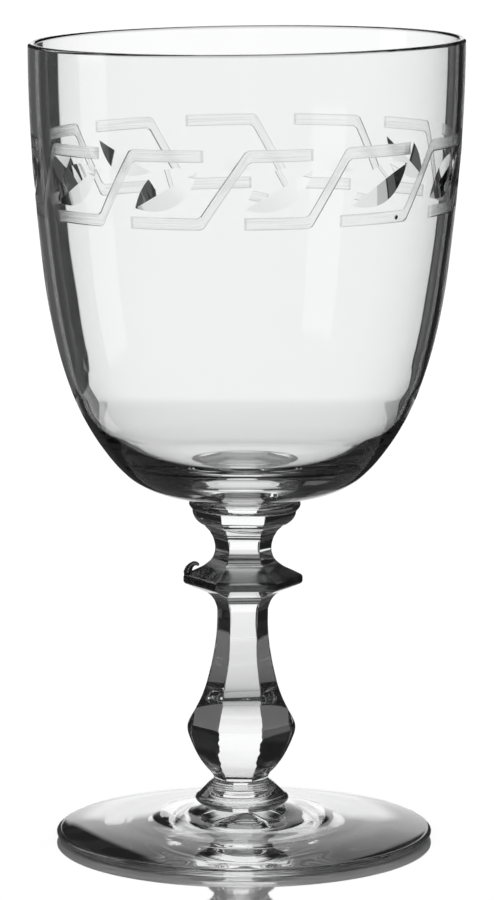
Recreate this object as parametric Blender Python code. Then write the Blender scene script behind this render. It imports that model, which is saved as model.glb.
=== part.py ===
"""Stemmed water goblet in clear glass.

Six hot-worked pieces stand on one vertical axis: foot, foot button, baluster,
knop, bowl collar and bowl.  The stem pieces are cut to six flat panels, the
rest is turned.  Metres, +Z up, origin at the centre of the standing surface.
Lengths below are in millimetres and are scaled once, by MM.
"""
import bpy
import bmesh
import math
from mathutils import Vector

MM = 0.001
JOINT_GAP = 0.3            # clear space left between fused neighbours

# ---- driving dimensions -------------------------------------------------
TOTAL_HEIGHT = 152.0
RIM_RADIUS = 40.95
WALL = 1.3                 # bowl wall at the mouth
BASE_THICKNESS = 5.0       # glass under the middle of the bowl
SEAT_RADIUS = 8.8          # bowl's underside starts here, over the collar
TURN_RADIUS = 23.5         # and meets the outer wall here
TURN_HEIGHT = 71.0
FLOOR_RADIUS = 28.2        # bowl's floor meets the inner wall here
FLOOR_HEIGHT = 79.4
FOOT_RADIUS = 35.75
FOOT_EDGE = 1.7            # height of the foot's upper edge
FOOT_HOLLOW = 2.0          # rise of the underside at the axis
BEARING_INNER = 18.0       # flat ring that the foot stands on
BEARING_OUTER = 34.4

BOWL_BOTTOM = 65.4         # joint of bowl and collar
COLLAR_BOTTOM = 63.35      # joint of collar and knop
KNOP_BOTTOM = 44.2         # joint of knop and baluster
BALUSTER_BOTTOM = 11.5     # joint of baluster and button
BUTTON_BOTTOM = 6.25       # joint of button and foot

COLLAR_RADIUS = 10.6
CUP_RADIUS = 9.9           # six-sided cup under the collar, over corners
NECK_RADIUS = 5.38
KNOP_RADIUS = 11.4
KNOP_TOP_EDGE = 50.3
KNOP_LOW_EDGE = 49.25
COLUMN_RADIUS = 4.9
BALUSTER_RADIUS = 10.4
BUTTON_RADIUS = 8.9

PANELS = 6                 # flat panels round the stem
PANEL_EDGE = 0.07          # part of a panel's edge taken by the softened arris
ROUND_SIDES = 48

# Turned and cut outlines as (height, radius), top to bottom.
BOWL_OUTSIDE = [
    (TOTAL_HEIGHT - 0.6, RIM_RADIUS), (141.0, 40.75), (128.0, 40.0),
    (114.5, 38.7), (101.0, 36.85), (91.5, 34.55), (82.5, 31.25),
    (75.5, 27.2)]
BOWL_INSIDE = [
    (TOTAL_HEIGHT - 0.6, RIM_RADIUS - WALL), (141.0, 39.45), (128.0, 38.7),
    (114.5, 37.4), (101.0, 35.5), (92.5, 33.6), (86.0, 31.6)]
KNOP_OUTLINE = [
    (COLLAR_BOTTOM - JOINT_GAP, CUP_RADIUS), (62.3, 9.85), (61.4, 9.4),
    (60.7, 8.7), (60.0, 7.5), (59.0, 6.5), (58.55, 6.25), (57.1, 5.58),
    (55.96, NECK_RADIUS), (55.1, 5.42), (54.1, 5.75), (53.0, 6.7),
    (52.5, 7.35), (51.4, 9.6), (50.75, 10.95), (KNOP_TOP_EDGE, KNOP_RADIUS),
    (KNOP_LOW_EDGE, KNOP_RADIUS), (48.9, 11.05), (48.0, 9.0), (47.2, 7.0),
    (46.0, 5.65), (45.3, 5.28), (KNOP_BOTTOM, COLUMN_RADIUS)]
BALUSTER_OUTLINE = [
    (KNOP_BOTTOM - JOINT_GAP, COLUMN_RADIUS), (40.9, COLUMN_RADIUS), (36.3, 5.35),
    (31.6, 6.3), (27.0, 7.7), (24.6, 8.9), (22.3, 10.1),
    (21.1, BALUSTER_RADIUS), (20.0, 10.2), (17.6, 9.3), (15.3, 8.1),
    (12.9, 6.3), (BALUSTER_BOTTOM, 5.2)]
BUTTON_OUTLINE = [
    (BALUSTER_BOTTOM - JOINT_GAP, 5.0), (10.7, 5.75), (9.9, 6.6), (9.0, 7.5),
    (8.3, 8.15), (7.85, 8.75), (7.5, BUTTON_RADIUS), (7.1, 8.75), (6.6, 8.25),
    (BUTTON_BOTTOM, 7.9)]
FOOT_TOP = [
    (BUTTON_BOTTOM - JOINT_GAP, 8.4), (5.25, 11.5), (4.9, 14.0), (3.95, 18.0),
    (3.5, 22.5), (3.0, 28.0), (2.2, 32.8), (FOOT_EDGE, 35.0)]


# ---- helpers ------------------------------------------------------------
def clear_scene():
    for obj in list(bpy.data.objects):
        bpy.data.objects.remove(obj, do_unlink=True)


def smooth_line(points, steps):
    """Catmull-Rom curve through the points, `steps` pieces per span."""
    pts = [Vector((r, z)) for z, r in points]
    ends = [pts[0] * 2 - pts[1]] + pts + [pts[-1] * 2 - pts[-2]]
    out = []
    for i in range(1, len(ends) - 2):
        a, b, c, d = ends[i - 1:i + 3]
        for k in range(steps):
            t = k / steps
            out.append(((b * 2) + (c - a) * t
                        + (a * 2 - b * 5 + c * 4 - d) * t ** 2
                        + (b * 3 - a - c * 3 + d) * t ** 3) * 0.5)
    out.append(pts[-1])
    return [(p.y, p.x) for p in out]


def dish(low, high, power, spans):
    """Points of a dished profile from `high` down to `low`, both (z, r)."""
    out = []
    for k in range(spans, -1, -1):
        t = k / spans
        out.append((low[0] + (high[0] - low[0]) * t ** power,
                    low[1] + (high[1] - low[1]) * t))
    return out


def circle(radius, z):
    return [(radius * math.cos(2 * math.pi * i / ROUND_SIDES),
             radius * math.sin(2 * math.pi * i / ROUND_SIDES), z)
            for i in range(ROUND_SIDES)]


def panel_ring(radius, z):
    """Six-sided ring with a corner on +X and softened corners."""
    corners = [Vector((radius * math.cos(2 * math.pi * i / PANELS),
                       radius * math.sin(2 * math.pi * i / PANELS), z))
               for i in range(PANELS)]
    ring = []
    for i, here in enumerate(corners):
        before, after = corners[i - 1], corners[(i + 1) % PANELS]
        a = here.lerp(before, PANEL_EDGE)
        b = here.lerp(after, PANEL_EDGE)
        ring += [a, (a + b) * 0.25 + here * 0.5, b]
    return [tuple(v) for v in ring]


def glass(name, colour, roughness):
    mat = bpy.data.materials.new(name)
    mat.use_nodes = True
    bsdf = mat.node_tree.nodes["Principled BSDF"]
    bsdf.inputs["Base Color"].default_value = (*colour, 1.0)
    bsdf.inputs["Roughness"].default_value = roughness
    bsdf.inputs["Metallic"].default_value = 0.0
    bsdf.inputs["Transmission Weight"].default_value = 1.0
    bsdf.inputs["IOR"].default_value = 1.52
    return mat


def loft(name, rings, material, poles=(None, None), sharp=40.0):
    """Closed solid through equal rings.

    `poles` gives the height of an end point on the axis, or None for a flat
    cap over that end ring.
    """
    bm = bmesh.new()
    loops = [[bm.verts.new(Vector(p) * MM) for p in ring] for ring in rings]
    for low, high in zip(loops, loops[1:]):
        n = len(low)
        for i in range(n):
            bm.faces.new((low[i], low[(i + 1) % n], high[(i + 1) % n], high[i]))
    for loop, pole in ((loops[0], poles[0]), (loops[-1], poles[1])):
        if pole is None:
            bm.faces.new(loop)
        else:
            tip = bm.verts.new((0.0, 0.0, pole * MM))
            for i in range(len(loop)):
                bm.faces.new((loop[i], loop[(i + 1) % len(loop)], tip))
    bmesh.ops.recalc_face_normals(bm, faces=bm.faces)
    mesh = bpy.data.meshes.new(name)
    bm.to_mesh(mesh)
    bm.free()
    mesh.materials.append(material)
    mesh.shade_smooth()
    mesh.set_sharp_from_angle(angle=math.radians(sharp))
    obj = bpy.data.objects.new(name, mesh)
    bpy.context.scene.collection.objects.link(obj)
    return obj


# ---- pieces -------------------------------------------------------------
def make_bowl():
    floor = BOWL_BOTTOM + BASE_THICKNESS
    under = dish((BOWL_BOTTOM, SEAT_RADIUS), (TURN_HEIGHT, TURN_RADIUS), 2.2, 6)
    well = dish((floor, 0.0), (FLOOR_HEIGHT, FLOOR_RADIUS), 4.5, 6)[:-1]
    outside = smooth_line(BOWL_OUTSIDE + under, 2)
    inside = smooth_line(BOWL_INSIDE + well, 1)
    lip = [(TOTAL_HEIGHT - 0.1, RIM_RADIUS - 0.35),
           (TOTAL_HEIGHT, RIM_RADIUS - WALL / 2),
           (TOTAL_HEIGHT - 0.1, RIM_RADIUS - WALL + 0.35)]
    outline = list(reversed(outside)) + lip + inside
    return loft("bowl", [circle(r, z) for z, r in outline],
                glass("bowl_glass", (0.95, 0.96, 0.96), 0.02),
                poles=(None, floor))


def make_collar():
    top, low = BOWL_BOTTOM - JOINT_GAP, COLLAR_BOTTOM
    half = (top - low) / 2
    rings = []
    for i in range(7):
        a = math.pi * (i / 6 - 0.5)
        rings.append(circle(COLLAR_RADIUS - 1.1 * (1 - math.cos(a)),
                            low + half + half * math.sin(a)))
    return loft("bowl_collar", rings,
                glass("collar_glass", (0.94, 0.95, 0.95), 0.02))


def make_knop():
    return loft("stem_knop", [panel_ring(r, z) for z, r in KNOP_OUTLINE],
                glass("knop_glass", (0.94, 0.95, 0.95), 0.02), sharp=25.0)


def make_baluster():
    return loft("stem_baluster", [panel_ring(r, z) for z, r in BALUSTER_OUTLINE],
                glass("baluster_glass", (0.94, 0.95, 0.95), 0.02), sharp=25.0)


def make_button():
    return loft("foot_button",
                [circle(r, z) for z, r in BUTTON_OUTLINE],
                glass("button_glass", (0.94, 0.95, 0.95), 0.02))


def make_foot():
    edge = [(1.2, FOOT_RADIUS), (0.6, FOOT_RADIUS - 0.1),
            (0.15, FOOT_RADIUS - 0.6)]
    ring = [(0.0, BEARING_OUTER), (0.0, BEARING_INNER)]
    hollow = dish((FOOT_HOLLOW, 0.0), (0.0, BEARING_INNER), 1.6, 4)[1:-1]
    return loft("foot",
                [circle(r, z) for z, r in FOOT_TOP + edge + ring + hollow],
                glass("foot_glass", (0.94, 0.95, 0.95), 0.02),
                poles=(None, FOOT_HOLLOW), sharp=30.0)


def main():
    clear_scene()
    for make in (make_foot, make_button, make_baluster, make_knop,
                 make_collar, make_bowl):
        make()


main()
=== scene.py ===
"""Looks of a clear stemmed water goblet: six glass pieces with a cut ornament
band on the bowl, on a pale glossy table, in bright-field studio light.
Lengths are written in millimetres and scaled once, by MM.
"""

import bpy
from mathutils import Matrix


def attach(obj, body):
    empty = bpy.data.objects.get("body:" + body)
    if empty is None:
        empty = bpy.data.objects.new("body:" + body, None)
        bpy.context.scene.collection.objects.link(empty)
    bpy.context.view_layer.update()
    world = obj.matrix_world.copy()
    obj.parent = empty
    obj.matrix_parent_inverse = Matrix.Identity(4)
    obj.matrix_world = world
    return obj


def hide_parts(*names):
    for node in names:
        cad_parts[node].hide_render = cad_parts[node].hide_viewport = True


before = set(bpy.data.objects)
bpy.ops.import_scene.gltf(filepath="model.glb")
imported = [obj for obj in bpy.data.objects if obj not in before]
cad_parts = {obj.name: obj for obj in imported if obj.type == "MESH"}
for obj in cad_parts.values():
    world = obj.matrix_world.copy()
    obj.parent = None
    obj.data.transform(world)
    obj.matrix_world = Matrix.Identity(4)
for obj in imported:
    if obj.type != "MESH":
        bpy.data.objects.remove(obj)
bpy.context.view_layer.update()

import bpy
import math
from mathutils import Vector
from mathutils.geometry import delaunay_2d_cdt

MM = 0.001
scene = bpy.context.scene

# ------------------------------------------------------------------ camera
CAM_DISTANCE = 908.6      # from the goblet's axis
CAM_HEIGHT = 213.5        # over the table
CAM_TILT = 8.70           # degrees below level
CAM_PAN = 0.02            # degrees
CAM_LENS = 194.5

cam_data = bpy.data.cameras.new("camera")
cam_data.lens = CAM_LENS
cam_data.sensor_width = 36.0
cam_data.clip_start = 0.01
cam_data.clip_end = 50.0
camera = bpy.data.objects.new("camera", cam_data)
camera.location = (0.0, -CAM_DISTANCE * MM, CAM_HEIGHT * MM)
camera.rotation_euler = (math.radians(90.0 - CAM_TILT), 0.0,
                         math.radians(-CAM_PAN))
scene.collection.objects.link(camera)
scene.camera = camera

# ---------------------------------------------------------------- profiles
# (height, radius); a new list starts where the outline has a crease.
RIM_TOP = 152.0
BOWL_OUT = [(65.44, 8.84), (65.82, 11.5), (66.28, 14.3), (66.82, 16.5),
            (67.94, 19.35), (69.46, 21.8), (71.0, 23.5), (75.5, 27.2),
            (82.4, 31.25), (91.5, 34.6), (101.0, 36.85), (114.5, 38.7),
            (128.0, 40.0), (141.0, 40.75), (151.3, 40.95)]
BOWL_IN = [(70.36, 0.0), (70.4, 5.0), (70.66, 10.0), (71.14, 15.0),
           (72.24, 19.6), (74.96, 24.1), (79.36, 28.2), (86.0, 31.6),
           (92.5, 33.6), (101.0, 35.5), (114.5, 37.4), (128.0, 38.7),
           (141.0, 39.45), (151.3, 39.65)]
COLLAR = [[(65.44, 8.84), (65.36, 9.54), (65.08, 10.14), (64.72, 10.48),
           (64.34, 10.58), (64.0, 10.54), (63.66, 10.34), (63.38, 10.1),
           (63.3, 9.97)]]
KNOP = [[(63.3, 9.9), (62.5, 9.86), (61.6, 9.5), (60.7, 8.7), (60.0, 7.5)],
        [(60.0, 7.5), (59.45, 6.95), (59.0, 6.5)],
        [(59.0, 6.5), (58.8, 6.33), (58.55, 6.25)],
        [(58.55, 6.25), (57.9, 5.85), (57.1, 5.58), (55.96, 5.38), (55.1, 5.42)],
        [(55.1, 5.42), (54.6, 5.58), (54.1, 5.75)],
        [(54.1, 5.75), (53.5, 6.15), (53.0, 6.7)],
        [(53.0, 6.7), (52.5, 7.35), (51.4, 9.6), (50.75, 10.95)],
        [(50.75, 10.95), (50.35, 11.36), (49.8, 11.4), (49.25, 11.36),
         (48.9, 11.05)],
        [(48.9, 11.05), (48.0, 9.0), (47.2, 7.0)],
        [(47.2, 7.0), (46.6, 6.15), (46.0, 5.65)],
        [(46.0, 5.65), (45.6, 5.4), (45.3, 5.28)],
        [(45.3, 5.28), (44.7, 5.05), (44.05, 4.87)]]
BALUSTER = [[(44.05, 4.87), (43.2, 4.86), (42.0, 4.86), (40.9, 4.89), (38.6, 5.05), (36.3, 5.35),
             (33.95, 5.77), (31.6, 6.3), (29.3, 6.9), (27.0, 7.72),
             (24.6, 8.9), (22.7, 9.95), (21.9, 10.27), (21.1, 10.38),
             (20.2, 10.27), (18.9, 9.83), (17.2, 9.1), (15.2, 8.05),
             (13.2, 6.55), (11.9, 5.4), (11.45, 5.17)]]
BUTTON = [[(11.45, 5.17), (11.2, 5.2)]
          + [(11.05 - 0.34 * i - dz, 5.3 + 0.42 * i + dr) for i in range(3)
             for dz, dr in ((0.0, 0.0), (0.20, 0.10), (0.27, 0.28))]
          + [(9.9, 6.6), (9.0, 7.5), (8.3, 8.15)],
          [(8.3, 8.15), (7.85, 8.75), (7.5, 8.9), (7.1, 8.75), (6.6, 8.25),
           (6.1, 7.75)]]
DISH_OFF = (0.4, -1.2)   # the hollow under the foot was ground off the middle
FOOT = [[(6.1, 7.75), (5.9, 8.6), (5.25, 11.5), (4.9, 14.0), (3.95, 18.0),
         (3.48, 22.5), (2.97, 28.0), (2.16, 32.8), (1.75, 34.7),
         (1.57, 35.4), (1.25, 35.75), (0.77, 35.68), (0.31, 35.2),
         (0.05, 34.74), (0.0, 34.37)],
        [(0.0, 34.37), (0.0, 32.4), (0.0, 30.5)],
        [(0.0, 30.5), (0.01, 26.0), (0.01, 22.0), (0.02, 18.0), (0.45, 14.5),
         (1.15, 11.0), (1.3, 7.0), (2.0, 0.0)]]

# The panels were cut by eye: bearings of the two front arrises, in degrees to
# the left and right of the front, at heights down the stem.
ARRIS = [(66.0, 26.0, 22.0), (61.5, 27.0, 24.0), (57.5, 30.0, 34.0),
         (54.0, 30.0, 35.0), (50.5, 26.0, 33.0), (48.0, 27.0, 33.0),
         (45.0, 30.0, 36.0), (41.0, 29.0, 35.0), (35.0, 27.0, 31.0),
         (30.0, 29.0, 31.0), (25.0, 27.0, 26.0), (20.5, 25.0, 22.5),
         (15.5, 29.0, 21.0), (11.0, 32.0, 24.0)]
# Hand-made glass is never quite true: sideways set of each height, and the
# slope of the mouth and of the cup, in millimetres.
LEAN = [(0.0, -0.25), (4.0, -0.25), (7.5, -0.65), (12.0, -0.85), (44.0, -0.5),
        (60.0, -0.35), (66.0, 0.0), (90.0, 0.0), (120.0, 0.2), (153.0, 0.3)]
MOUTH_SLOPE, CUP_SLOPE = 0.0119, -0.018

# ------------------------------------------------------------- curve tools


def ease(t):
    t = max(0.0, min(1.0, t))
    return t * t * (3.0 - 2.0 * t)


def between_rows(table, z, soft=True):
    """Values of a table of rows (height, value, ...) at a height."""
    rows = sorted(table)
    if z <= rows[0][0]:
        return rows[0][1:]
    for a, b in zip(rows, rows[1:]):
        if z <= b[0]:
            t = (z - a[0]) / (b[0] - a[0])
            t = ease(t) if soft else t
            return tuple(p + (q - p) * t for p, q in zip(a[1:], b[1:]))
    return rows[-1][1:]


def settle(p):
    """A true point moved to where the hand-made glass has it."""
    x, y, z = p
    dz = MOUTH_SLOPE * x * ease((z - 96.0) / 20.0)
    dz += CUP_SLOPE * x * ease((z - 58.0) / 4.0) * ease((65.3 - z) / 1.8)
    return x + between_rows(LEAN, z, False)[0], y, z + dz


def spline(points, step):
    """Smooth curve through (z, r) points: list of (z, r, dz, dr)."""
    pts = [Vector(p) for p in points]
    n = len(pts)
    if n == 2:
        tang = [pts[1] - pts[0]] * 2
        lens = [(pts[1] - pts[0]).length]
    else:
        lens = [(pts[i + 1] - pts[i]).length for i in range(n - 1)]
        tang = []
        for i in range(n):
            if i == 0:
                tang.append(None)
            elif i == n - 1:
                tang.append(None)
            else:
                a, b = lens[i - 1], lens[i]
                tang.append(((pts[i] - pts[i - 1]) / a * b
                             + (pts[i + 1] - pts[i]) / b * a) / (a + b))
        first = (pts[1] - pts[0]) / lens[0]
        last = (pts[-1] - pts[-2]) / lens[-1]
        tang[0] = first * 2 - tang[1]
        tang[-1] = last * 2 - tang[-2]
    if n == 2:
        tang = [(pts[1] - pts[0]) / lens[0]] * 2
    out = []
    for i in range(n - 1):
        h = lens[i]
        m = max(1, int(math.ceil(h / step)))
        for k in range(m + (1 if i == n - 2 else 0)):
            t = k / m
            t2, t3 = t * t, t * t * t
            p = (pts[i] * (2 * t3 - 3 * t2 + 1) + tang[i] * h * (t3 - 2 * t2 + t)
                 + pts[i + 1] * (3 * t2 - 2 * t3) + tang[i + 1] * h * (t3 - t2))
            d = (pts[i] * (6 * t2 - 6 * t) + tang[i] * h * (3 * t2 - 4 * t + 1)
                 + pts[i + 1] * (6 * t - 6 * t2) + tang[i + 1] * h * (3 * t2 - 2 * t))
            if d.length < 1e-9:
                d = pts[i + 1] - pts[i]
            d = d.normalized()
            out.append((p[0], max(p[1], 0.0), d[0], d[1]))
    return out


def outline_at(z, ragged=1.0, per_face=15, soft=0.03, arc=5):
    """Unit six-sided section at a height: (x, y, normal x, normal y)."""
    left, right = between_rows(ARRIS, z)
    shake = (0.12 + 0.75 * ease((24.0 - z) / 4.0)) * ragged
    left += shake * (math.sin(2.3 * z) + 0.6 * math.sin(5.1 * z + 1.0))
    right += shake * (math.sin(2.1 * z + 2.0) + 0.6 * math.sin(4.7 * z))
    back = 0.5 * math.sin(1.1 * z + 0.6) * ragged
    bearing_of = (0.0, 60.0 + back, 120.0 - back, 180.0, 270.0 - left, 270.0 + right)
    corner = [Vector((math.cos(math.radians(a)), math.sin(math.radians(a))))
              for a in bearing_of]
    way = [(corner[(k + 1) % 6] - corner[k]).normalized() for k in range(6)]
    flat = [Vector((w.y, -w.x)) for w in way]
    pts = []
    for k in range(6):
        a = corner[k] - way[k - 1] * soft
        b = corner[k] + way[k] * soft
        turn = math.acos(max(-1.0, min(1.0, flat[k - 1].dot(flat[k]))))
        rad = soft / math.tan(turn / 2)
        mid = a - flat[k - 1] * rad
        start = math.atan2(flat[k - 1].y, flat[k - 1].x)
        for j in range(arc):
            ang = start + turn * j / (arc - 1)
            nrm = Vector((math.cos(ang), math.sin(ang)))
            p = mid + nrm * rad
            pts.append((p.x, p.y, nrm.x, nrm.y))
        end = corner[(k + 1) % 6] - way[k] * soft
        for j in range(1, per_face + 1):
            p = b.lerp(end, j / (per_face + 1))
            pts.append((p.x, p.y, flat[k].x, flat[k].y))
    return pts


def panels(z):
    """Section at a height, with how far each point's wall leans with height."""
    d = 0.02
    out = []
    for here, true, low, high in zip(outline_at(z), outline_at(z, 0.15),
                                     outline_at(z - d, 0.15), outline_at(z + d, 0.15)):
        x, y = here[:2]
        nx, ny = true[2:4]
        lean = ((high[0] - low[0]) * nx + (high[1] - low[1]) * ny) / (2 * d)
        if ny < -0.9:                # shallow dent over the swelling's front
            lean += 0.016 * math.exp(-((z - 25.2) / 0.8) ** 2 - (x / 0.17) ** 2)
        out.append((x, y, nx, ny, lean))
    return out


def round_like(z):
    """Unit circle with as many points as the six-sided section."""
    out = []
    for p in outline_at(z):
        r = math.hypot(p[0], p[1])
        out.append((p[0] / r, p[1] / r, p[0] / r, p[1] / r))
    return out


def circle(n, start=0.0):
    return [(math.cos(a), math.sin(a), math.cos(a), math.sin(a))
            for a in (math.radians(start) + 2 * math.pi * i / n
                      for i in range(n))]


def cut_at(section, z):
    return section(z) if callable(section) else section


class Build:
    """Mesh with its own normal at every face corner."""

    def __init__(self):
        self.verts, self.faces, self.normals, self.mats = [], [], [], []
        self.along = []

    def vert(self, p):
        self.verts.append(tuple(c * MM for c in settle(p)))
        return len(self.verts) - 1

    def face(self, ids, normals, mat=0, along=None):
        self.faces.append(ids)
        self.normals.extend(normals)
        self.mats.append(mat)
        self.along.extend(along or [(0.0, 0.0, 0.0)] * len(ids))

    def ring(self, section, z, r):
        return [self.vert((p[0] * r, p[1] * r, z)) for p in cut_at(section, z)]

    def normal(self, point, s):
        x, y, nx, ny = point[:4]
        lean = point[4] if len(point) > 4 else 0.0
        v = Vector((nx * s[2], ny * s[2],
                    -s[3] * (x * nx + y * ny) - s[1] * lean * s[2]))
        return (v * self.side).normalized()

    def wall(self, section, low, high, a, b, mat=0):
        """Quads between two rings; a and b are (z, r, dz, dr) of each."""
        na = [self.normal(p, a) for p in cut_at(section, a[0])]
        nb = [self.normal(p, b) for p in cut_at(section, b[0])]
        n = len(low)
        for i in range(n):
            j = (i + 1) % n
            self.face((low[i], low[j], high[j], high[i]),
                      (na[i], na[j], nb[j], nb[i]), mat)

    def skin(self, section, outline, mat=0, start=None, outward=True):
        """Loft over one smooth outline running upward along the surface."""
        self.side = 1.0 if outward else -1.0
        rings = []
        for k, s in enumerate(outline):
            if k == 0 and start is not None:
                rings.append(start)
            elif s[1] < 1e-6:
                rings.append(None)
            else:
                rings.append(self.ring(section, s[0], s[1]))
        for k in range(len(outline) - 1):
            a, b = outline[k], outline[k + 1]
            if rings[k] is None or rings[k + 1] is None:
                loop = rings[k] or rings[k + 1]
                s, tip = (a, b) if rings[k] else (b, a)
                top = self.vert((0, 0, tip[0]))
                flat = Vector((0, 0, 1 if s[3] * self.side < 0 else -1))
                if not rings[k]:
                    flat = Vector((0, 0, -1 if s[3] * self.side > 0 else 1))
                ns = [self.normal(p, s) for p in cut_at(section, s[0])]
                n = len(loop)
                for i in range(n):
                    j = (i + 1) % n
                    self.face((loop[i], loop[j], top), (ns[i], ns[j], flat), mat)
            else:
                self.wall(section, rings[k], rings[k + 1], a, b, mat)
        return rings[-1]

    def cap(self, ring, up, mat):
        """Flat cover over a ring, as a fan from its middle."""
        n = len(ring)
        self.verts.append(tuple(sum(self.verts[i][c] for i in ring) / n
                                for c in range(3)))
        mid = len(self.verts) - 1
        nv = Vector((0, 0, 1 if up else -1))
        for i in range(len(ring)):
            j = (i + 1) % len(ring)
            self.face((ring[i], ring[j], mid), (nv, nv, nv), mat)

    def annulus(self, outer, inner, up, mat):
        nv = Vector((0, 0, 1 if up else -1))
        for i in range(len(outer)):
            j = (i + 1) % len(outer)
            self.face((outer[i], outer[j], inner[j], inner[i]), (nv,) * 4, mat)

    def finish(self, name, materials, node):
        # turn each face so that its winding agrees with its normals
        faces, normals, along, at = [], [], [], 0
        for f in self.faces:
            n = len(f)
            ns = list(self.normals[at:at + n])
            al = list(self.along[at:at + n])
            at += n
            p = [Vector(self.verts[i]) for i in f]
            g = Vector((0, 0, 0))
            for i in range(n):
                g += (p[i] - p[0]).cross(p[(i + 1) % n] - p[0])
            mean = Vector((0, 0, 0))
            for v in ns:
                mean += v
            if g.dot(mean) < 0:
                f = tuple(reversed(f))
                ns.reverse()
                al.reverse()
            faces.append(f)
            normals.extend(ns)
            along.extend(al)
        mesh = bpy.data.meshes.new(name)
        mesh.from_pydata(self.verts, [], faces)
        for m in materials:
            mesh.materials.append(m)
        mesh.polygons.foreach_set("material_index", self.mats)
        mesh.shade_smooth()
        attr = mesh.attributes.new("stroke", "FLOAT_VECTOR", "CORNER")
        attr.data.foreach_set("vector", [c for v in along for c in v])
        mesh.normals_split_custom_set([tuple(v) for v in normals])
        mesh.update()
        obj = bpy.data.objects.new(name, mesh)
        scene.collection.objects.link(obj)
        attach(obj, "root")
        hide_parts(node)
        return obj


# --------------------------------------------------------------- materials
def new_material(name):
    mat = bpy.data.materials.new(name)
    mat.use_nodes = True
    nt = mat.node_tree
    nt.nodes.clear()
    return mat, nt


def node(nt, kind, **props):
    n = nt.nodes.new(kind)
    for k, v in props.items():
        if k == "ins":
            for key, val in v.items():
                n.inputs[key].default_value = val
        else:
            setattr(n, k, v)
    return n


def ramp(nt, src, stops):
    n = nt.nodes.new("ShaderNodeValToRGB")
    el = n.color_ramp.elements
    while len(el) < len(stops):
        el.new(0.5)
    for e, (pos, val) in zip(el, stops):
        e.position = pos
        e.color = (*val, 1.0) if isinstance(val, tuple) else (val, val, val, 1.0)
    nt.links.new(src, n.inputs[0])
    return n.outputs[0]


def clear_glass(name, ior, tint, wave, seeds=False):
    """Clear glass with faint drawing cords, wiped film and tiny seeds."""
    mat, nt = new_material(name)
    out = node(nt, "ShaderNodeOutputMaterial")
    bsdf = node(nt, "ShaderNodeBsdfPrincipled")
    bsdf.inputs["Transmission Weight"].default_value = 1.0
    bsdf.inputs["IOR"].default_value = ior
    nt.links.new(bsdf.outputs[0], out.inputs[0])
    tex = node(nt, "ShaderNodeTexCoord")
    # slow tint change along the gather
    tone = node(nt, "ShaderNodeTexNoise", ins={"Scale": 22.0, "Detail": 2.0})
    nt.links.new(tex.outputs["Object"], tone.inputs["Vector"])
    lo = tuple(c * 0.985 for c in tint)
    colour = ramp(nt, tone.outputs["Fac"], [(0.3, lo), (0.7, tint)])
    if seeds:
        cells = node(nt, "ShaderNodeTexVoronoi", ins={"Scale": 95.0})
        nt.links.new(tex.outputs["Object"], cells.inputs["Vector"])
        pick = node(nt, "ShaderNodeSeparateColor")
        nt.links.new(cells.outputs["Color"], pick.inputs[0])
        rare = node(nt, "ShaderNodeMath", operation="GREATER_THAN")
        rare.inputs[1].default_value = 0.972
        nt.links.new(pick.outputs[0], rare.inputs[0])
        near = node(nt, "ShaderNodeMath", operation="LESS_THAN")
        near.inputs[1].default_value = 0.026
        nt.links.new(cells.outputs["Distance"], near.inputs[0])
        spot = node(nt, "ShaderNodeMath", operation="MULTIPLY")
        nt.links.new(rare.outputs[0], spot.inputs[0])
        nt.links.new(near.outputs[0], spot.inputs[1])
        mix = node(nt, "ShaderNodeMix", data_type="RGBA")
        nt.links.new(spot.outputs[0], mix.inputs["Factor"])
        nt.links.new(colour, mix.inputs[6])
        mix.inputs[7].default_value = (0.18, 0.18, 0.18, 1.0)
        colour = mix.outputs[2]
    nt.links.new(colour, bsdf.inputs["Base Color"])
    film = node(nt, "ShaderNodeTexNoise", ins={"Scale": 60.0, "Detail": 3.0})
    nt.links.new(tex.outputs["Object"], film.inputs["Vector"])
    rough = ramp(nt, film.outputs["Fac"], [(0.45, 0.0), (0.8, 0.012)])
    nt.links.new(rough, bsdf.inputs["Roughness"])
    if wave > 0:
        place = node(nt, "ShaderNodeMapping")
        place.inputs["Scale"].default_value = (1.0, 1.0, 0.35)
        nt.links.new(tex.outputs["Object"], place.inputs["Vector"])
        cords = node(nt, "ShaderNodeTexNoise", ins={"Scale": 70.0, "Detail": 1.0})
        nt.links.new(place.outputs[0], cords.inputs["Vector"])
        bump = node(nt, "ShaderNodeBump", ins={"Strength": 1.0})
        bump.inputs["Distance"].default_value = wave
        nt.links.new(cords.outputs["Fac"], bump.inputs["Height"])
        nt.links.new(bump.outputs[0], bsdf.inputs["Normal"])
    return mat


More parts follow.
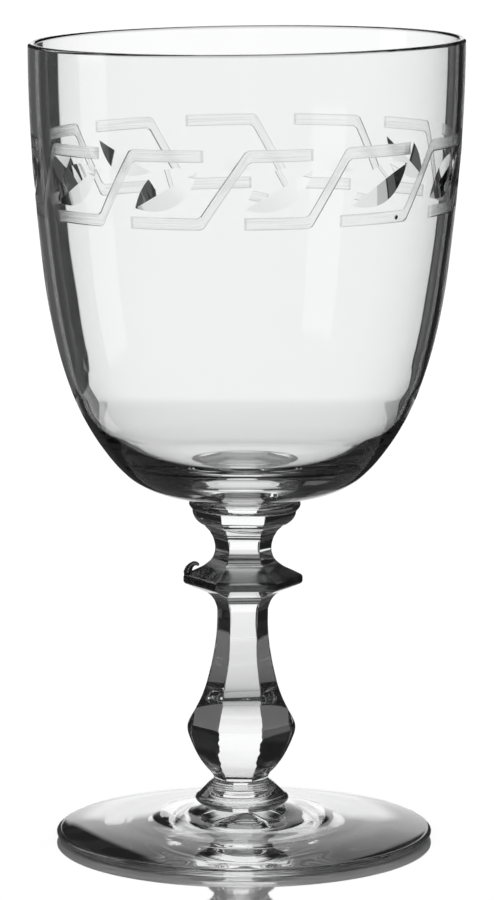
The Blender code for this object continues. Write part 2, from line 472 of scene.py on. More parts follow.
def ground_glass(name, ior, tint, matt=0.15):
    """Cut left matt from the wheel, with streaks along the stroke."""
    mat, nt = new_material(name)
    out = node(nt, "ShaderNodeOutputMaterial")
    bsdf = node(nt, "ShaderNodeBsdfPrincipled")
    bsdf.inputs["Transmission Weight"].default_value = 1.0
    bsdf.inputs["IOR"].default_value = ior
    nt.links.new(bsdf.outputs[0], out.inputs[0])
    at = node(nt, "ShaderNodeAttribute", attribute_name="stroke")
    place = node(nt, "ShaderNodeMapping")
    place.inputs["Scale"].default_value = (0.05, 3.6, 1.0)
    nt.links.new(at.outputs["Vector"], place.inputs["Vector"])
    streak = node(nt, "ShaderNodeTexNoise",
                  ins={"Scale": 1.0, "Detail": 3.0, "Roughness": 0.6})
    nt.links.new(place.outputs[0], streak.inputs["Vector"])
    tex = node(nt, "ShaderNodeTexCoord")
    grit = node(nt, "ShaderNodeTexNoise", ins={"Scale": 5200.0, "Detail": 1.0})
    nt.links.new(tex.outputs["Object"], grit.inputs["Vector"])
    lo = tuple(c * 0.80 for c in tint)
    colour = ramp(nt, streak.outputs["Fac"], [(0.40, lo), (0.56, tint)])
    nt.links.new(colour, bsdf.inputs["Base Color"])
    rough = ramp(nt, streak.outputs["Fac"], [(0.3, matt), (0.7, matt * 0.55)])
    nt.links.new(rough, bsdf.inputs["Roughness"])
    both = node(nt, "ShaderNodeMath", operation="MULTIPLY_ADD")
    nt.links.new(grit.outputs["Fac"], both.inputs[0])
    both.inputs[1].default_value = 0.25
    nt.links.new(streak.outputs["Fac"], both.inputs[2])
    bump = node(nt, "ShaderNodeBump", ins={"Strength": 0.6})
    bump.inputs["Distance"].default_value = 0.00003
    nt.links.new(both.outputs[0], bump.inputs["Height"])
    nt.links.new(bump.outputs[0], bsdf.inputs["Normal"])
    return mat


def fused_joint(name):
    """Inside of a hot joint: the glass runs on, so nothing bends there."""
    mat, nt = new_material(name)
    out = node(nt, "ShaderNodeOutputMaterial")
    clear = node(nt, "ShaderNodeBsdfTransparent")
    nt.links.new(clear.outputs[0], out.inputs[0])
    return mat


IOR = 1.52
GLASS_TINT = (0.985, 0.99, 0.988)
bowl_mat = clear_glass("bowl_glass", IOR, GLASS_TINT, 0.0, seeds=True)
stem_mat = clear_glass("stem_glass", IOR, GLASS_TINT, 0.0)
foot_mat = clear_glass("foot_glass", IOR, GLASS_TINT, 0.0)
cut_mat = ground_glass("ground_cut", IOR, (0.90, 0.905, 0.905))
# walls of the cut strokes: ground glass whose darker tint of 0.66 is painted shade along the
# groove edges
edge_wall_shade_mat = ground_glass("ground_edge_painted_shade", IOR, (0.66, 0.665, 0.665))
# knop's upper facets: matt worn glass whose dark tint of 0.30 is painted shade
worn_facet_shade_mat = ground_glass("worn_facet_painted_shade", IOR, (0.30, 0.305, 0.305), 0.32)
# knop's edge band: matt worn glass whose near-black tint of 0.13 is painted shade
worn_rim_shade_mat = ground_glass("worn_rim_painted_shade", IOR, (0.13, 0.132, 0.132), 0.32)
# the drip on the knop: matt glass tinted almost black as painted shade
drip_shade_mat = ground_glass("drip_painted_shade", IOR, (0.10, 0.10, 0.10), 0.30)
joint_mat = fused_joint("fused_joint")

# ------------------------------------------------------------ ornament band
BAND_LOW, BAND_HIGH = 116.0, 138.0
BOWL_SIDES = 192
MOTIFS = 12
PERIOD = 360.0 / MOTIFS
BAR_LOW, BAR_UP = 121.45, 133.75    # middle of lower and upper bars
BAR_WIDE, SLANT_WIDE = 2.25, 1.75
BAR_DEPTH, BAR_WALL = 0.04, 0.17
BAR_FADE = 1.8                       # length over which a bar's end runs out
STROKE = [(-30.8, BAR_LOW), (-11.2, BAR_LOW), (-1.0, BAR_UP), (18.6, BAR_UP)]
LEAF_MID = (8.5, 127.6)
LEAF_TILT = 29.4
LEAF_HALF, LEAF_WIDE, LEAF_DEPTH = 7.1, 3.45, 0.74
# cut by eye, motif by motif: turn in degrees, and how deep the leaf was cut
TURN = (0.0, -1.0, -2.0, -1.8, -1.2, -2.1, -1.1, -0.7, -2.2, -1.2, 0.0, 0.0)
LEAF_CUT = (0.5, 0.8, 0.7, 0.7, 0.65, 0.45, 0.45, 0.55, 0.7, 0.7, 0.75, 0.78)
LEAF_BIAS = (0.0, 0.4, 0.0, 0.0, 0.0, 0.0, 0.0, 0.0, 0.0, 0.0, 0.0, -0.35)
# where the ends and bends of a stroke were set off the drawing, in degrees
STROKE_OFF = {0: (-1.2, -0.7, 1.3, -1.3), 1: (1.2, -1.0, -0.9, 0.0),
              2: (-1.9, 0.0, 0.0, 0.0), 11: (-2.5, -0.7, 0.0, 0.3)}
PIT = (43.7, 121.3)                  # bearing and height of a small pit
PIT_RADIUS, PIT_DEPTH = 0.45, 0.32
DEG = 0.695                          # mm along the wall per degree

outer_line = spline(BOWL_OUT, 0.9)


def outer_at(z):
    """Radius and slope dr/dz of the bowl's outside at a height."""
    for a, b in zip(outer_line, outer_line[1:]):
        if a[0] <= z <= b[0]:
            t = (z - a[0]) / (b[0] - a[0])
            ra, rb = a[3] / a[2], b[3] / b[2]
            return a[1] + (b[1] - a[1]) * t, ra + (rb - ra) * t
    s = outer_line[-1]
    return s[1], s[3] / s[2]


def offset_path(path, widths, side, cut):
    """One edge of a stroke: the path moved sideways, ends moved by cut."""
    segs = []
    for (p, q), w in zip(zip(path, path[1:]), widths):
        d = (q - p).normalized()
        nrm = Vector((-d.y, d.x)) * side * w
        segs.append((p + nrm, q + nrm, d))
    pts = [segs[0][0] - segs[0][2] * cut]
    for (a, _, d), (b, _, e) in zip(segs, segs[1:]):
        den = d.x * e.y - d.y * e.x
        t = ((b.x - a.x) * e.y - (b.y - a.y) * e.x) / den
        pts.append(a + d * t)
    pts.append(segs[-1][1] + segs[-1][2] * cut)
    return pts


def stroke_path(k):
    off = STROKE_OFF.get(k, (0.0, 0.0, 0.0, 0.0))
    return [Vector(((x + o) * DEG, z)) for (x, z), o in zip(STROKE, off)]


def stroke_outline(k, inset):
    path = stroke_path(k)
    half = [BAR_WIDE / 2 - inset, SLANT_WIDE / 2 - inset, BAR_WIDE / 2 - inset]
    cut = -inset * 3.0
    left = offset_path(path, half, 1, cut)
    right = offset_path(path, half, -1, cut)
    return soft_bend(left) + soft_bend(right)[::-1]


def soft_bend(line, back=0.5):
    """The wheel leaves no sharp outer corner: each bend becomes two."""
    out = [line[0]]
    for a, b, c in zip(line, line[1:], line[2:]):
        out.append(b + (a - b).normalized() * back)
        out.append(b + (c - b).normalized() * back)
    return out + [line[-1]]


def inside(poly, p):
    hit = False
    for a, b in zip(poly, poly[1:] + poly[:1]):
        if (a.y > p.y) != (b.y > p.y):
            if p.x < a.x + (p.y - a.y) * (b.x - a.x) / (b.y - a.y):
                hit = not hit
    return hit


STROKE_EDGE = [stroke_outline(k, 0.0) for k in range(MOTIFS)]
STROKE_BED = [stroke_outline(k, BAR_WALL) for k in range(MOTIFS)]
LEAF_U = Vector((math.cos(math.radians(LEAF_TILT)),
                 math.sin(math.radians(LEAF_TILT))))
LEAF_V = Vector((-LEAF_U.y, LEAF_U.x))
LEAF_C = Vector((LEAF_MID[0] * DEG, LEAF_MID[1]))


def leaf_uv(p):
    d = p - LEAF_C
    return d.dot(LEAF_U), d.dot(LEAF_V)


def leaf_deep(u, k):
    """Depth that the leaf is cut to, changing from one tip to the other."""
    return LEAF_DEPTH * (LEAF_CUT[k] + LEAF_BIAS[k] * u / LEAF_HALF)


def leaf_depth(u, v, k):
    return leaf_deep(u, k) * (1 - (u / LEAF_HALF) ** 2 - abs(v) / LEAF_WIDE)


def stroke_at(p, motif):
    """Where a point lies on the stroke: run, across, room to the nearest end
    (with the way there), and the direction of the stroke."""
    best, run = None, 0.0
    path = stroke_path(motif)
    total = sum((c - a).length for a, c in zip(path, path[1:]))
    for k, (a, c) in enumerate(zip(path, path[1:])):
        d = (c - a).normalized()
        t = (p - a).dot(d)
        across = (p - a).dot(Vector((-d.y, d.x)))
        over = max(0.0, -t, t - (c - a).length)
        score = abs(across) + over * 2
        if best is None or score < best[0]:
            best = (score, run + t, across, d, k)
        run += (c - a).length
    _, at, across, d, k = best
    first = at < total / 2
    return at, across, (at if first else total - at), (d if first else -d), k


def bar_depth(p, motif):
    return BAR_DEPTH * ease(stroke_at(p, motif)[2] / BAR_FADE)


def stroke_slope(p, motif, on_wall):
    """How the cut deepens across the drawing at a point of the stroke."""
    at, across, room, way, k = stroke_at(p, motif)
    t = max(0.0, min(1.0, room / BAR_FADE))
    grad = way * (BAR_DEPTH * 6 * t * (1 - t) / BAR_FADE)
    if on_wall:
        d = way if at == room else -way
        towards = Vector((-d.y, d.x)) * (-1.0 if across > 0 else 1.0)
        grad = grad + towards * (BAR_DEPTH * ease(t) / BAR_WALL)
    return grad


def leaf_lines():
    n = 20
    top, low, mid = [], [], []
    for i in range(n + 1):
        u = -LEAF_HALF * math.cos(math.pi * i / n)
        w = LEAF_WIDE * (1 - (u / LEAF_HALF) ** 2)
        top.append(LEAF_C + LEAF_U * u + LEAF_V * w)
        low.append(LEAF_C + LEAF_U * u - LEAF_V * w)
        mid.append(LEAF_C + LEAF_U * u)
    return top, low, mid


def make_bowl():
    b = Build()
    section = circle(BOWL_SIDES, -15.0 - 90.0)
    # outside below the band
    lower = [s for s in outer_line if s[0] < BAND_LOW - 0.4]
    r, dr = outer_at(BAND_LOW)
    lower.append((BAND_LOW, r, 1.0, dr))
    first = b.ring(section, lower[0][0], lower[0][1])
    low_ring = b.skin(section, lower, 0, start=first)
    b.cap(first, False, 2)
    r, dr = outer_at(BAND_HIGH)
    upper = [(BAND_HIGH, r, 1.0, dr)] + [s for s in outer_line
                                        if s[0] > BAND_HIGH + 0.4]
    high_ring = b.ring(section, BAND_HIGH, r)
    rim = b.skin(section, upper, 0, start=high_ring)
    # lip: half round over the wall's end
    zo, ro = outer_line[-1][0], outer_line[-1][1]
    ri = BOWL_IN[-1][1]
    half = (ro - ri) / 2
    lip = []
    for i in range(13):
        a = math.pi * i / 12
        lip.append((zo + math.sin(a) * (RIM_TOP - zo), ri + half + half * math.cos(a),
                    math.cos(a), -math.sin(a)))
    rim = b.skin(section, lip, 0, start=rim)
    inner = spline(BOWL_IN[::-1], 1.0)
    b.skin(section, inner, 0, start=rim)

    # the band itself, unrolled, then wrapped
    x0, x1 = -15.0 * DEG, 345.0 * DEG
    span = x1 - x0
    pts, edges, seen = [], [], {}

    def add(p):
        key = (round(p[0], 4), round(p[1], 4))
        if key not in seen:
            seen[key] = len(pts)
            pts.append(Vector(key))
        return seen[key]

    seam = set()

    def line(p, q):
        """A constraint, cut where it crosses the seam."""
        while (p.x + q.x) / 2 < x0:
            p, q = p + Vector((span, 0)), q + Vector((span, 0))
        while (p.x + q.x) / 2 > x1:
            p, q = p - Vector((span, 0)), q - Vector((span, 0))
        lo, hi = (p, q) if p.x <= q.x else (q, p)
        for edge, back in ((x0, span), (x1, -span)):
            if lo.x < edge - 1e-7 and hi.x > edge + 1e-7:
                zm = lo.lerp(hi, (edge - lo.x) / (hi.x - lo.x)).y
                seam.add(zm)
                if edge == x0:
                    edges.append((add((x0, zm)), add(hi)))
                    edges.append((add(lo + Vector((back, 0))), add((x1, zm))))
                else:
                    edges.append((add(lo), add((x1, zm))))
                    edges.append((add((x0, zm)), add(hi + Vector((back, 0)))))
                return
        edges.append((add(p), add(q)))

    for k in range(MOTIFS):
        shift = Vector(((PERIOD * k + TURN[k]) * DEG, 0))
        for poly in (STROKE_EDGE[k], STROKE_BED[k]):
            for p, q in zip(poly, poly[1:] + poly[:1]):
                m = max(1, int((q - p).length / 0.7))
                for i in range(m):
                    line(p.lerp(q, i / m) + shift, p.lerp(q, (i + 1) / m) + shift)
        for chain in leaf_lines():
            for p, q in zip(chain, chain[1:]):
                line(p + shift, q + shift)
    pit = Vector((PIT[0] * DEG, PIT[1]))
    for r in (PIT_RADIUS, PIT_RADIUS / 2):
        hoop = [pit + Vector((math.cos(a), math.sin(a))) * r
                for a in (2 * math.pi * i / 14 for i in range(14))]
        for p, q in zip(hoop, hoop[1:] + hoop[:1]):
            line(p, q)
    add(pit)
    # rows of plain points, kept off the drawn lines
    cell = 0.4
    grid = {}
    for p, q in edges:
        a, c = pts[p], pts[q]
        m = max(1, int((c - a).length / (cell / 2)))
        for i in range(m + 1):
            v = a.lerp(c, i / m)
            grid.setdefault((int(v.x // cell), int(v.y // cell)), []).append(v)

    def crowded(p, gap):
        gx, gy = int(p.x // cell), int(p.y // cell)
        for i in (-1, 0, 1):
            for j in (-1, 0, 1):
                for v in grid.get((gx + i, gy + j), ()):
                    if (v - p).length < gap:
                        return True
        return False

    rows = int((BAND_HIGH - BAND_LOW) / 1.0)
    dx = span / BOWL_SIDES
    for j in range(rows + 1):
        z = BAND_LOW + (BAND_HIGH - BAND_LOW) * j / rows
        for i in range(BOWL_SIDES + 1):
            p = Vector((x0 + dx * i, z))
            if j in (0, rows):
                add(p)
            elif i in (0, BOWL_SIDES):
                if not any(abs(z - s) < 0.3 for s in seam):
                    add(p)
            elif not crowded(p, 0.3):
                add(p)
    left = sorted((p.y, i) for i, p in enumerate(pts) if abs(p.x - x0) < 1e-4)
    right = sorted((p.y, i) for i, p in enumerate(pts) if abs(p.x - x1) < 1e-4)
    for side in (left, right):
        edges.extend((a[1], c[1]) for a, c in zip(side, side[1:]))
    got = delaunay_2d_cdt(pts, edges, [], 0, 1e-6)
    flat, tris = got[0], got[2]

    def local(p):
        """The point moved into the frame of each motif that may hold it."""
        near = round(p.x / (PERIOD * DEG))
        out = []
        for d in (-2, -1, 0, 1, 2):
            k = (near + d) % MOTIFS
            turn = PERIOD * (near + d) + TURN[k]
            out.append((k, p - Vector((turn * DEG, 0))))
        return out

    def on_leaf(k, q):
        u, v = leaf_uv(q)
        return abs(u) < LEAF_HALF and leaf_depth(u, v, k) > 0

    # ids of wrapped points; the seam's two sides become one
    ids, kind, where = {}, [], {}
    for i, p in enumerate(flat):
        depth = 0.0
        for k, q in local(p):
            if inside(STROKE_BED[k], q) or near_edge(STROKE_BED[k], q):
                depth = bar_depth(q, k)
            elif on_leaf(k, q):
                depth = max(depth, leaf_depth(*leaf_uv(q), k))
        hole = (p - pit).length / PIT_RADIUS
        if hole < 0.99:
            depth += PIT_DEPTH * (1 - hole ** 2)
        x = p.x - span if p.x > x1 - 1e-4 else p.x
        key = (round(x, 4), round(p.y, 4))
        if key not in where:
            r, _ = outer_at(p.y)
            if abs(p.y - BAND_LOW) < 1e-4 or abs(p.y - BAND_HIGH) < 1e-4:
                n = int(round((x - x0) / dx)) % BOWL_SIDES
                where[key] = (low_ring if p.y < 127 else high_ring)[n]
            else:
                a = math.radians(x / DEG - 90.0)
                where[key] = b.vert(((r - depth) * math.cos(a),
                                     (r - depth) * math.sin(a), p.y))
        ids[i] = where[key]

    for t in tris:
        p = [flat[i] for i in t]
        mid = (p[0] + p[1] + p[2]) / 3
        what, home, motif = "wall", None, 0
        for k, q in local(mid):
            if inside(STROKE_BED[k], q):
                what, home = "bed", q - mid
            elif inside(STROKE_EDGE[k], q):
                what, home = "edge", q - mid
            elif on_leaf(k, q):
                what, home = "leaf", q - mid
            if home is not None:
                motif = k
                break
        ns, along = [], []
        for q in p:
            a = math.radians(q.x / DEG - 90.0)
            r, dr = outer_at(q.y)
            nrm = Vector((math.cos(a), math.sin(a), -dr)).normalized()
            grad, place = None, (0.0, 0.0, 0.0)
            if what == "leaf":
                u, v = leaf_uv(q + home)
                side = 1.0 if leaf_uv(mid + home)[1] > 0 else -1.0
                deep = leaf_deep(u, motif)
                more = (LEAF_DEPTH * LEAF_BIAS[motif] / LEAF_HALF
                        * (1 - (u / LEAF_HALF) ** 2 - abs(v) / LEAF_WIDE))
                grad = (LEAF_U * (more - 2 * deep * u / LEAF_HALF ** 2)
                        + LEAF_V * (-side * deep / LEAF_WIDE))
            elif what in ("bed", "edge"):
                grad = stroke_slope(q + home, motif, what == "edge")
                at, across, _, _, leg = stroke_at(q + home, motif)
                place = (at + 17.0 * leg + 53.0 * motif, across, 0.0)
            if (mid - pit).length < PIT_RADIUS:
                grad = (q - pit) * (-2 * PIT_DEPTH / PIT_RADIUS ** 2)
            if grad is not None:
                tx = Vector((-math.sin(a), math.cos(a), 0.0))
                tz = Vector((dr * math.cos(a), dr * math.sin(a), 1.0)).normalized()
                nrm = (nrm + tx * grad.x + tz * grad.y).normalized()
            ns.append(nrm)
            along.append(place)
        # stroke walls take the ground glass whose darker tint is painted shade
        b.face(tuple(ids[i] for i in t), ns, {"bed": 1, "edge": 3}.get(what, 0), along)
    return b.finish("bowl_crystal", [bowl_mat, cut_mat, joint_mat, edge_wall_shade_mat],
                    "bowl")


def near_edge(poly, p):
    for a, c in zip(poly, poly[1:] + poly[:1]):
        d = c - a
        t = max(0.0, min(1.0, (p - a).dot(d) / d.length_squared))
        if (a + d * t - p).length < 1e-3:
            return True
    return False


# ------------------------------------------------------------- other pieces
def chain(build, section, spans, step, mat, start):
    ring = start
    for pts in spans:
        ring = build.skin(section, spline(pts[::-1], step)[::1], mat, start=ring)
    return ring


def stack(spans):
    """Spans are written top to bottom; the skin runs bottom to top."""
    return [list(s) for s in reversed(spans)]


def make_turned(name, spans, node_name, mat, section, step, wear_and_shade=None):
    """Stem piece; the last argument gives the heights of a knop's edge, its top and the
    end of the matt cuts above it. Those spans get matt glass with a dark tint that is painted
    shade, darkest on the edge band."""
    b = Build()
    ring = b.ring(section, spans[-1][-1][0], spans[-1][-1][1])
    b.cap(ring, False, 1)
    for span in stack(spans):
        low, high = sorted((span[0][0], span[-1][0]))
        matt_and_shaded = wear_and_shade and wear_and_shade[0] <= low and high <= wear_and_shade[2]
        # matt glass painted dark as shade: darkest on the knop's edge band, lighter on its upper
        # facets
        kind = 0 if not matt_and_shaded else 3 if high <= wear_and_shade[1] else 2
        ring = chain(b, section, [span], step, kind, ring)
    b.cap(ring, True, 1)
    return b.finish(name, [mat, joint_mat, worn_facet_shade_mat, worn_rim_shade_mat], node_name)


def make_collar():
    b = Build()
    low = b.ring(round_like, COLLAR[-1][-1][0], COLLAR[-1][-1][1])
    six = b.ring(panels, KNOP[0][0][0], KNOP[0][0][1])
    b.annulus(low, six, False, 0)
    b.cap(six, False, 1)
    top = chain(b, round_like, stack(COLLAR), 0.12, 0, low)
    b.cap(top, True, 1)
    return b.finish("bowl_collar_bead", [stem_mat, joint_mat],
                    "bowl_collar")


def make_button():
    b = Build()
    low = b.ring(round_like, BUTTON[-1][-1][0], BUTTON[-1][-1][1])
    b.cap(low, False, 1)
    top = chain(b, round_like, stack(BUTTON), 0.12, 0, low)
    six = b.ring(panels, BALUSTER[-1][-1][0], BALUSTER[-1][-1][1] * 0.985)
    b.annulus(top, six, True, 0)
    b.cap(six, True, 1)
    return b.finish("foot_button_glass", [stem_mat, joint_mat],
                    "foot_button")


def make_foot():
    b = Build()
    section = circle(180)
    # underside middle outwards, then round the edge and up to the hub
    rows = [spline(span[::-1], step) for span, step in
            zip(FOOT[::-1], (0.8, 1.0, 0.35))]
    ring = None
    for k, row in enumerate(rows):
        ring = b.skin(section, row, 0, start=ring)
        if k == 0:
            for i, v in enumerate(b.verts):
                w = ease((30.5 - math.hypot(v[0], v[1]) / MM) / 13.0)
                b.verts[i] = (v[0] + DISH_OFF[0] * w * MM,
                              v[1] + DISH_OFF[1] * w * MM, v[2])
    b.cap(ring, True, 1)
    return b.finish("foot_disc", [foot_mat, joint_mat], "foot")


DRIP = [(-10.6, 50.3), (-10.45, 51.2), (-10.15, 52.0), (-9.6, 52.55),
        (-9.0, 52.7), (-8.5, 52.45)]
DRIP_RADIUS = [0.55, 0.85, 0.72, 0.55, 0.46, 0.30]


def make_drip():
    """Small hooked thread of glass left standing on the knop's left corner, its glass tinted
    almost black as painted shade.
    """
    b = Build()
    path = spline(DRIP, 0.18)
    n, rings = 7, []
    for k, (x, z, dx, dz) in enumerate(path):
        t = k / (len(path) - 1)
        at = t * (len(DRIP_RADIUS) - 1)
        i = min(int(at), len(DRIP_RADIUS) - 2)
        r = DRIP_RADIUS[i] + (DRIP_RADIUS[i + 1] - DRIP_RADIUS[i]) * (at - i)
        way, out = Vector((dx, 0, dz)), Vector((-dz, 0, dx))
        ring, ns = [], []
        for j in range(n):
            a = 2 * math.pi * j / n + 0.5 * math.sin(1.9 * k)
            d = out * math.cos(a) + Vector((0, 1, 0)) * math.sin(a)
            ring.append(b.vert((x + d.x * r, d.y * r, z + d.z * r)))
            ns.append(d)
        rings.append((ring, ns, way, Vector((x, 0, z)), r))
    for (low, na, *_), (high, nb, *_) in zip(rings, rings[1:]):
        for j in range(n):
            i = (j + 1) % n
            b.face((low[j], low[i], high[i], high[j]), (na[j], na[i], nb[i], nb[j]))
    for (ring, ns, way, mid, r), s in ((rings[0], -1.0), (rings[-1], 1.0)):
        tip = b.vert(tuple(mid + way * (s * r * 0.8)))
        for j in range(n):
            i = (j + 1) % n
            b.face((ring[j], ring[i], tip), (ns[j], ns[i], way * s))
    return b.finish("stem_knop_drip", [drip_shade_mat], "stem_knop")


make_bowl()
make_collar()
make_drip()
# the knop's edge band and upper facets get matt glass painted dark as shade
make_turned("stem_knop_cut", KNOP, "stem_knop", stem_mat, panels, 0.25,
            wear_and_shade=(48.9, 50.75, 53.0))
make_turned("stem_baluster_cut", BALUSTER, "stem_baluster",
            stem_mat, panels, 0.35)
make_button()
make_foot()

# -------------------------------------------------------------------- stage
TABLE_MID = (17.0, 0.0)
TABLE_RADIUS, TABLE_SOFT = 132.0, 16.0
TABLE_GLOSS = 0.70
side = 0.3
table_mesh = bpy.data.meshes.new("table")
table_mesh.from_pydata([(-side, -side, 0), (side, -side, 0), (side, side, 0),
                        (-side, side, 0)], [], [(0, 1, 2, 3)])
table = bpy.data.objects.new("table", table_mesh)
table.location = (TABLE_MID[0] * MM, TABLE_MID[1] * MM, -0.00003)
scene.collection.objects.link(table)
mat, nt = new_material("table_top")
out = node(nt, "ShaderNodeOutputMaterial")
tex = node(nt, "ShaderNodeTexCoord")
haze = node(nt, "ShaderNodeTexNoise", ins={"Scale": 9.0, "Detail": 2.0})
nt.links.new(tex.outputs["Object"], haze.inputs["Vector"])
matt = node(nt, "ShaderNodeBsdfDiffuse")
nt.links.new(ramp(nt, haze.outputs["Fac"], [(0.3, 0.78), (0.7, 0.82)]),
             matt.inputs["Color"])
gloss = node(nt, "ShaderNodeBsdfGlossy")
gloss.inputs["Color"].default_value = (1.0, 1.0, 1.0, 1.0)
nt.links.new(ramp(nt, haze.outputs["Fac"], [(0.3, 0.03), (0.7, 0.05)]),
             gloss.inputs["Roughness"])
top = node(nt, "ShaderNodeMixShader")
top.inputs[0].default_value = TABLE_GLOSS
nt.links.new(matt.outputs[0], top.inputs[1])
nt.links.new(gloss.outputs[0], top.inputs[2])
dist = node(nt, "ShaderNodeVectorMath", operation="LENGTH")
nt.links.new(tex.outputs["Object"], dist.inputs[0])
fade = node(nt, "ShaderNodeMapRange", interpolation_type="SMOOTHSTEP",
            ins={"From Min": (TABLE_RADIUS - TABLE_SOFT / 2) * MM,
                 "From Max": (TABLE_RADIUS + TABLE_SOFT / 2) * MM,
                 "To Min": 0.0, "To Max": 1.0})
nt.links.new(dist.outputs["Value"], fade.inputs["Value"])
gone = node(nt, "ShaderNodeBsdfTransparent")
blend = node(nt, "ShaderNodeMixShader")
nt.links.new(fade.outputs[0], blend.inputs[0])
nt.links.new(top.outputs[0], blend.inputs[1])
nt.links.new(gone.outputs[0], blend.inputs[2])
nt.links.new(blend.outputs[0], out.inputs[0])
table_mesh.materials.append(mat)

# ---------------------------------------------------- studio light (world)
world = bpy.data.worlds.new("studio")
scene.world = world
world.use_nodes = True
world.cycles.sampling_method = "NONE"
nt = world.node_tree
nt.nodes.clear()
wout = node(nt, "ShaderNodeOutputWorld")
bg = node(nt, "ShaderNodeBackground")
nt.links.new(bg.outputs[0], wout.inputs[0])
tex = node(nt, "ShaderNodeTexCoord")
sep = node(nt, "ShaderNodeSeparateXYZ")
nt.links.new(tex.outputs["Generated"], sep.inputs[0])


def maths(op, a, b=None):
    n = node(nt, "ShaderNodeMath", operation=op)
    for i, v in enumerate((a, b)):
        if v is None:
            continue
        if isinstance(v, (int, float)):
            n.inputs[i].default_value = v
        else:
            nt.links.new(v, n.inputs[i])
    return n.outputs[0]


def step_up(v, at, soft):
    """0 below at, 1 above, over a width of soft."""
    n = node(nt, "ShaderNodeMapRange", interpolation_type="SMOOTHSTEP",
             ins={"From Min": at - soft / 2, "From Max": at + soft / 2,
                  "To Min": 0.0, "To Max": 1.0})
    nt.links.new(v, n.inputs["Value"])
    return n.outputs[0]


def between(v, lo, hi, soft_lo=0.3, soft_hi=0.3):
    return maths("SUBTRACT", step_up(v, lo, soft_lo), step_up(v, hi, soft_hi))


def graph(v, points, top):
    """Straight-line graph through (angle, value) points, value up to top."""
    lo, hi = points[0][0], points[-1][0]
    n = node(nt, "ShaderNodeMapRange", ins={"From Min": lo, "From Max": hi})
    nt.links.new(v, n.inputs["Value"])
    line = ramp(nt, n.outputs[0], [((a - lo) / (hi - lo), b / top)
                                   for a, b in points])
    return maths("MULTIPLY", line, top)


def over(base, mask, value):
    """Lay value over base where mask is 1."""
    return maths("ADD", maths("MULTIPLY", base, maths("SUBTRACT", 1.0, mask)),
                 maths("MULTIPLY", mask, value))


X, Y, Z = sep.outputs
EL = maths("MULTIPLY", maths("ARCSINE", Z), 180 / math.pi)


def bearing(turn):
    """Degrees to the right of the direction a camera at that azimuth faces."""
    c, s = math.cos(math.radians(turn)), math.sin(math.radians(turn))
    ahead = maths("ADD", maths("MULTIPLY", X, -s), maths("MULTIPLY", Y, c))
    right = maths("ADD", maths("MULTIPLY", X, c), maths("MULTIPLY", Y, s))
    return maths("MULTIPLY", maths("ARCTAN2", right, ahead), 180 / math.pi)


AZ = bearing(0)
DARK = 0.012          # unlit studio
LEFT_CARD, RIGHT_CARD = 0.11, 0.13
SIDE_VIEWS = [(90, 10.0, -25.0, 1.5), (225, 10.0, -27.0, -8.0),
              (45, 10.0, -50.0, -19.0)]

# what is seen through the glass
light = over(maths("ADD", 0.0, DARK),
             maths("MULTIPLY", between(AZ, -38.0, -6.3, 4.0),
                   between(EL, -14.0, 3.0, 3.0, 3.0)), LEFT_CARD)
light = over(light, maths("MULTIPLY", between(AZ, 9.0, 14.5, 0.3, 1.5),
                          between(EL, -14.0, 3.0, 3.0, 3.0)), RIGHT_CARD)
light = over(light, between(AZ, -8.4, -6.3), 0.055)
light = over(light, between(AZ, 9.0, 9.8), 0.04)
screen = graph(EL, [(-60, 0.30), (-38, 0.55), (-25, 0.79), (-14, 0.90),
                    (-10, 0.95), (-8, 1.08), (14, 1.08), (20, 1.0), (28, 0.76),
                    (38, 0.54), (50, 0.25), (62, 0.0)], 1.25)
wings = maths("MULTIPLY", maths("SUBTRACT", 1.0, between(AZ, -4.8, 5.0)),
              maths("SUBTRACT", 1.0, step_up(EL, -10.5, 1.5)))
screen = maths("MULTIPLY", screen, maths("SUBTRACT", 1.0,
                                         maths("MULTIPLY", wings, 0.36)))
light = over(light, between(AZ, -6.3, 9.0), screen)
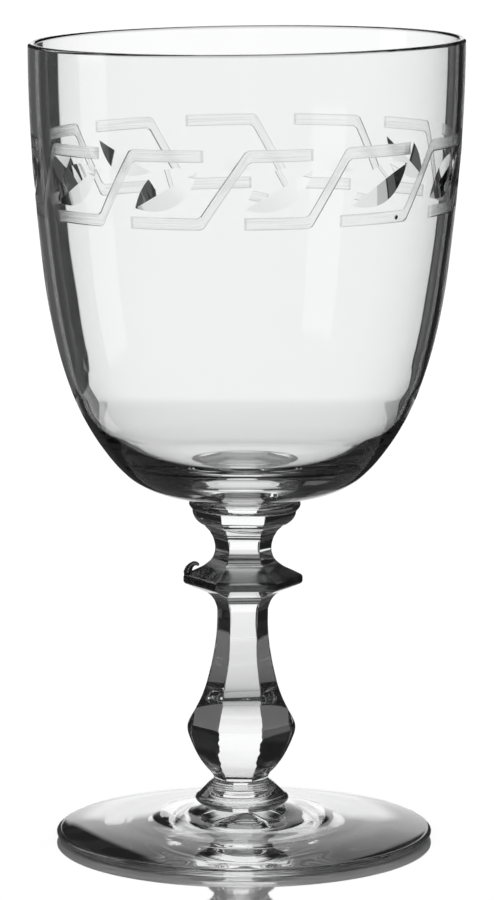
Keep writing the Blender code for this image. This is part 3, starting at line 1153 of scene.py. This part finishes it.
# the screen widens towards its top and runs on overhead
HIGH = step_up(EL, 14.0, 14.0)
light = over(light, maths("MULTIPLY", HIGH, between(AZ, -14.0, 18.0, 8.0, 8.0)),
             graph(EL, [(0, 1.0), (20, 0.95), (30, 0.80), (90, 0.80)], 1.25))
light = over(light, maths("MULTIPLY", step_up(EL, 40.0, 16.0),
                          between(AZ, -30.0, 34.0, 24.0, 24.0)), 0.75)
path = node(nt, "ShaderNodeLightPath")
FEW = maths("LESS_THAN", path.outputs["Ray Depth"], 5.5)
for turn, half, low, high in SIDE_VIEWS:
    panel = maths("MULTIPLY", between(bearing(turn), -half, half),
                  between(EL, low, high, 2.0, 1.0))
    light = over(light, maths("MULTIPLY", panel, FEW), 1.05)

# what is seen mirrored
mirror = over(maths("ADD", 0.0, 0.02),
              maths("MULTIPLY", between(AZ, -100.0, -8.0, 20.0, 2.0),
                    between(EL, -25.0, 12.0, 6.0, 6.0)), 0.05)
mirror = over(mirror, between(AZ, -7.0, 9.0, 1.0, 1.0),
              graph(EL, [(-40, 0.6), (-10, 1.08), (0, 1.25), (15, 1.25),
                         (20, 0.98), (28, 0.78), (38, 0.54), (50, 0.25),
                         (62, 0.0)], 1.3))
BARE = maths("LESS_THAN", path.outputs["Ray Depth"], 2.5)
for turn, half, low, high in SIDE_VIEWS:
    panel = maths("MULTIPLY", between(bearing(turn), -half, half),
                  between(EL, -high - 3.0, -low, 1.0, 2.0))
    mirror = over(mirror, maths("MULTIPLY", panel, BARE), 1.25)

final = over(light, path.outputs["Is Reflection Ray"], mirror)
final = over(final, path.outputs["Is Diffuse Ray"], 0.62)
final = over(final, path.outputs["Is Camera Ray"], 1.05)
nt.links.new(final, bg.inputs["Color"])
bg.inputs["Strength"].default_value = 1.0

# ------------------------------------------------------------ render looks
scene.view_settings.view_transform = "Standard"
scene.view_settings.look = "None"
scene.cycles.max_bounces = 40
scene.cycles.transmission_bounces = 40
scene.cycles.glossy_bounces = 24
scene.cycles.transparent_max_bounces = 40
scene.cycles.diffuse_bounces = 4
scene.cycles.caustics_reflective = True
scene.cycles.caustics_refractive = True
scene.cycles.use_denoising = True
